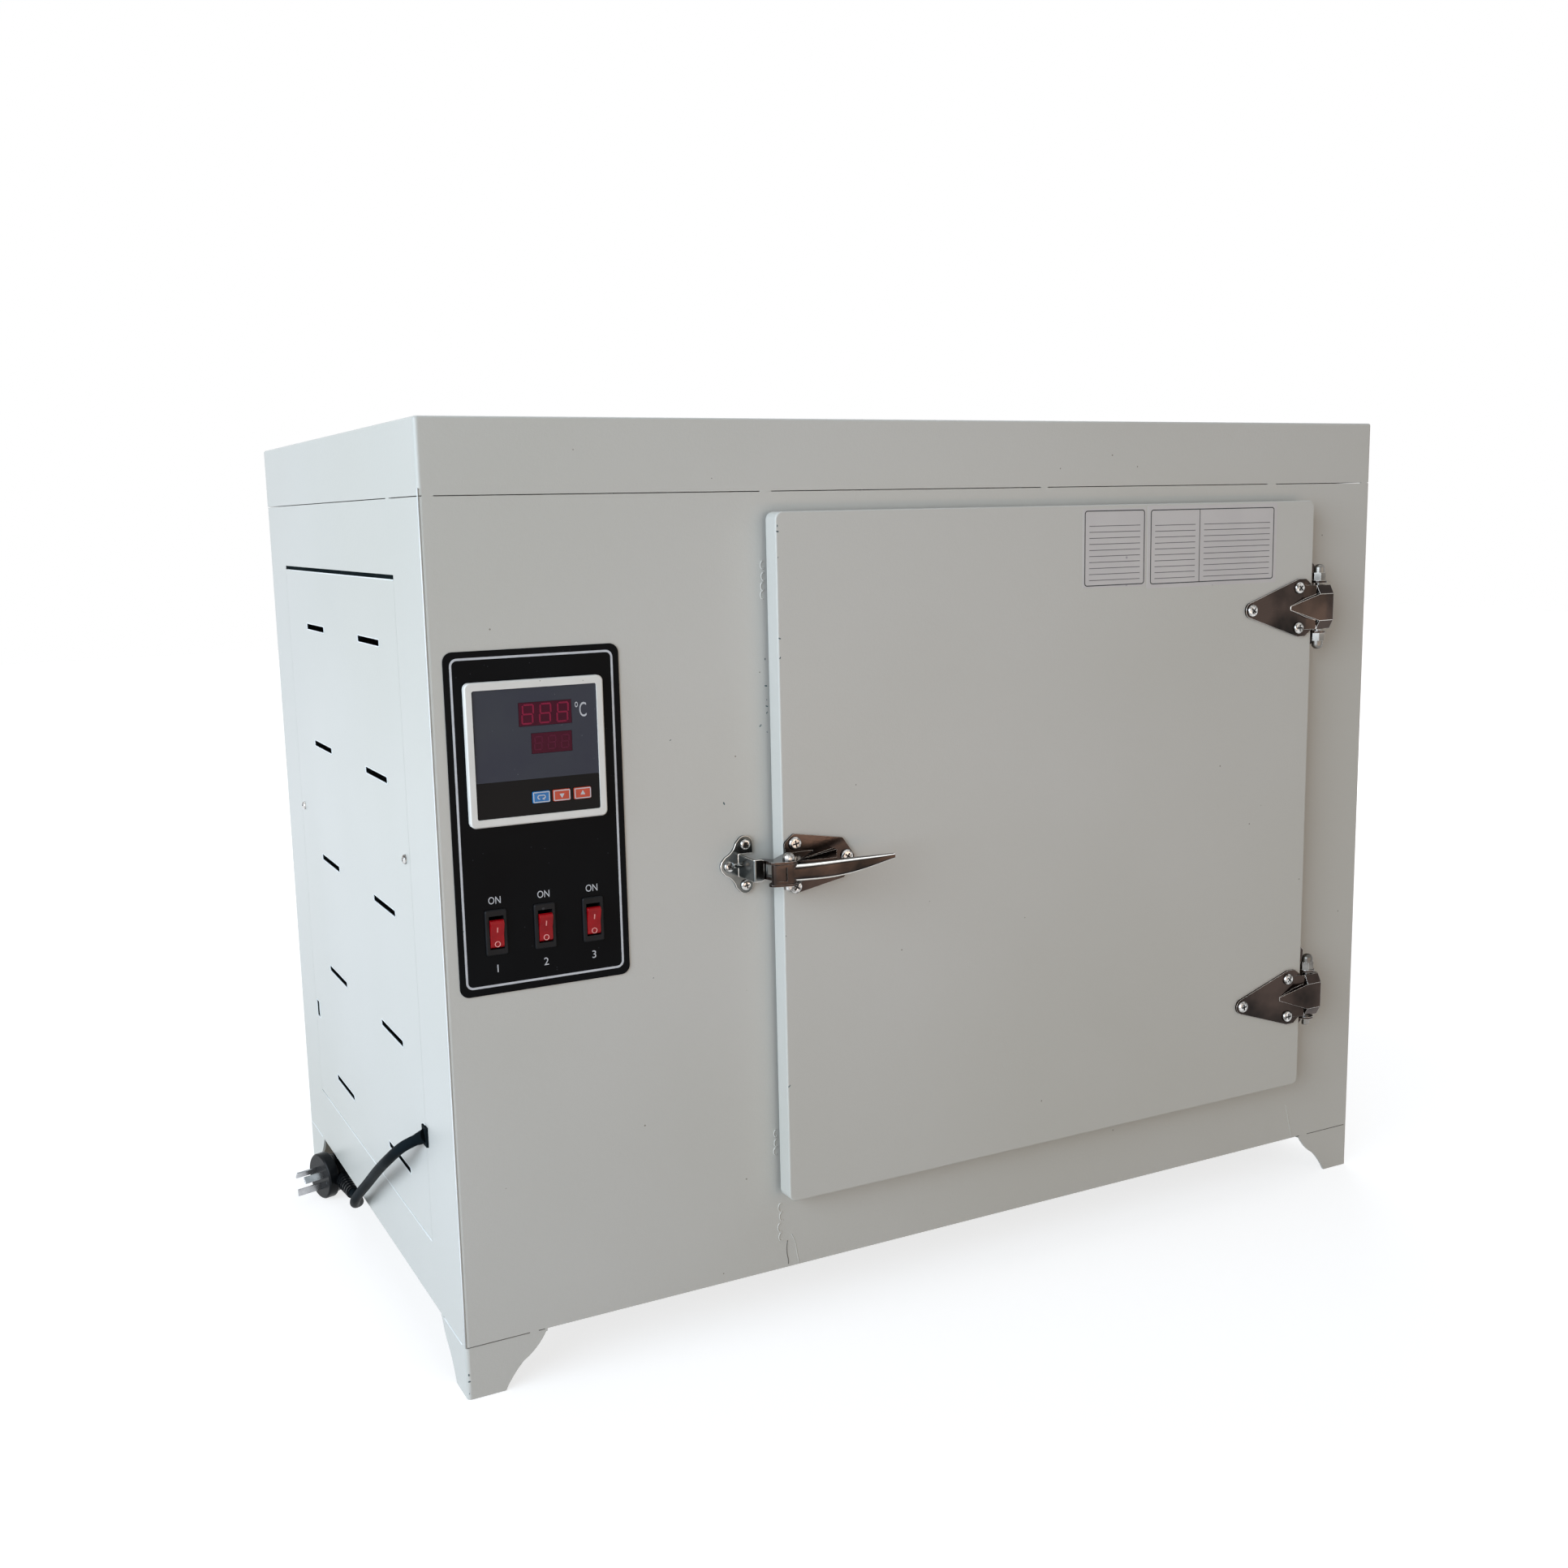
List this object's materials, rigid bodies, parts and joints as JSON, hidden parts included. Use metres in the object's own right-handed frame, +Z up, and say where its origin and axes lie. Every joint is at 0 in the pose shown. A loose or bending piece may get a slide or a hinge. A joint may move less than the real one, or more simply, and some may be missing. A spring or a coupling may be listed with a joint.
{
  "type": "bench drying oven",
  "caption": "Free-standing hot-air drying oven: sheet-steel cabinet, hinged front door with lever latch, front control label, wire shelves, fan and mains lead.",
  "frame": {"origin": "on the floor, under the middle of the oven's bounding box without its lead and plug", "axes": "+Z up; -Y is the front with the door; +X to the right, towards the hinges"},
  "size_m": [0.8654, 0.5724, 0.6778],
  "materials": {
    "painted_steel": "off-white powder coat with a fine orange peel, half gloss",
    "stainless": "plain stainless sheet and wire, satin",
    "galvanised": "bare zinc-coated sheet",
    "polished_steel": "nickel-plated pressings, bright",
    "screws": "bright plated pan heads",
    "wool": "compressed mineral wool",
    "seal": "grey silicone strip",
    "motor": "dark enamel",
    "heater_tube": "oxidised steel sheath",
    "vent": "plain pressed discs",
    "terminals": "ivory moulded block",
    "heat_sink": "extruded fins",
    "label_black": "black film, smooth",
    "bezel_cream": "cream moulding, fine grain",
    "case_black": "black moulding",
    "display": "dark red window",
    "key_blue": "blue key",
    "key_orange": "orange-red keys",
    "switch_black": "black moulding, gloss",
    "rocker_red": "clear red rockers",
    "cord_black": "black flexible sheath",
    "plug_black": "black moulded plug",
    "plug_metal": "plated flat pins"
  },
  "bodies": {
    "oven": {"cabinet": "painted_steel", "top_cover": "painted_steel", "back_panel": "painted_steel", "side_panel": "painted_steel", "feet": "painted_steel", "chamber": "stainless", "air_grille": "stainless", "heater_cover": "stainless", "cover_ledges": "stainless", "shelf_supports": "stainless", "shelf_lower": "stainless", "shelf_upper": "stainless", "temperature_probe": "stainless", "partition": "galvanised", "fan_casing": "galvanised", "exhaust_pipe": "galvanised", "hinge_bracket_top": "polished_steel", "hinge_bracket_bottom": "polished_steel", "hinge_pins": "polished_steel", "hinge_nuts": "polished_steel", "latch_keeper": "polished_steel", "cabinet_screws": "screws", "panel_screws": "screws", "back_screws": "screws", "insulation": "wool", "door_seal": "seal", "fan_motor": "motor", "heaters": "heater_tube", "vent_collar": "vent", "terminal_block": "terminals", "relay": "heat_sink", "label_plate": "label_black", "controller_bezel": "bezel_cream", "controller_case": "case_black", "display_windows": "display", "switch_bodies": "switch_black", "power_cord": "cord_black", "cord_grommet": "cord_black", "plug_body": "plug_black", "plug_relief": "plug_black", "plug_pins": "plug_metal"},
    "door": {"door_shell": "painted_steel", "door_liner": "stainless", "door_insulation": "wool", "hinge_leaf_top": "polished_steel", "hinge_leaf_bottom": "polished_steel", "latch_base": "polished_steel", "latch_pivot": "polished_steel", "door_screws": "screws"},
    "latch": {"latch_lever": "polished_steel", "latch_catch": "polished_steel"},
    "fan": {"fan_wheel": "stainless"},
    "vent": {"vent_disc": "vent"},
    "switch_1": {"rocker_1": "rocker_red"},
    "switch_2": {"rocker_2": "rocker_red"},
    "switch_3": {"rocker_3": "rocker_red"},
    "key_set": {"key_set": "key_blue"},
    "key_down": {"key_down": "key_orange"},
    "key_up": {"key_up": "key_orange"}
  },
  "joints": [
    {"name": "door_swing", "type": "hinge", "parent": "oven", "child": "door", "pos_m": [0.3412, -0.24422, 0.347], "axis": [0, 0, 1], "range_deg": [0, 120]},
    {"name": "latch_turn", "type": "hinge", "parent": "door", "child": "latch", "pos_m": [-0.1768, -0.26722, 0.3535], "axis": [0, 0, 1], "range_deg": [-30, 0]},
    {"name": "fan_spin", "type": "hinge", "parent": "oven", "child": "fan", "pos_m": [-0.1778, -0.04522, 0.35], "axis": [1, 0, 0], "continuous": true},
    {"name": "vent_turn", "type": "hinge", "parent": "oven", "child": "vent", "pos_m": [0.0822, 0.01478, 0.6688], "axis": [0, 0, 1], "continuous": true},
    {"name": "switch_1_tilt", "type": "hinge", "parent": "oven", "child": "switch_1", "pos_m": [-0.3772, -0.22102, 0.3289], "axis": [1, 0, 0], "range_deg": [-16, 0]},
    {"name": "switch_2_tilt", "type": "hinge", "parent": "oven", "child": "switch_2", "pos_m": [-0.34295, -0.22102, 0.3289], "axis": [1, 0, 0], "range_deg": [-16, 0]},
    {"name": "switch_3_tilt", "type": "hinge", "parent": "oven", "child": "switch_3", "pos_m": [-0.30825, -0.22102, 0.3289], "axis": [1, 0, 0], "range_deg": [-16, 0]},
    {"name": "key_set_press", "type": "slide", "parent": "oven", "child": "key_set", "axis": [0, 1, 0], "range_m": [0, 0.0008], "stiffness_N_per_m": 300, "springref_m": -0.001},
    {"name": "key_down_press", "type": "slide", "parent": "oven", "child": "key_down", "axis": [0, 1, 0], "range_m": [0, 0.0008], "stiffness_N_per_m": 300, "springref_m": -0.001},
    {"name": "key_up_press", "type": "slide", "parent": "oven", "child": "key_up", "axis": [0, 1, 0], "range_m": [0, 0.0008], "stiffness_N_per_m": 300, "springref_m": -0.001}
  ]
}
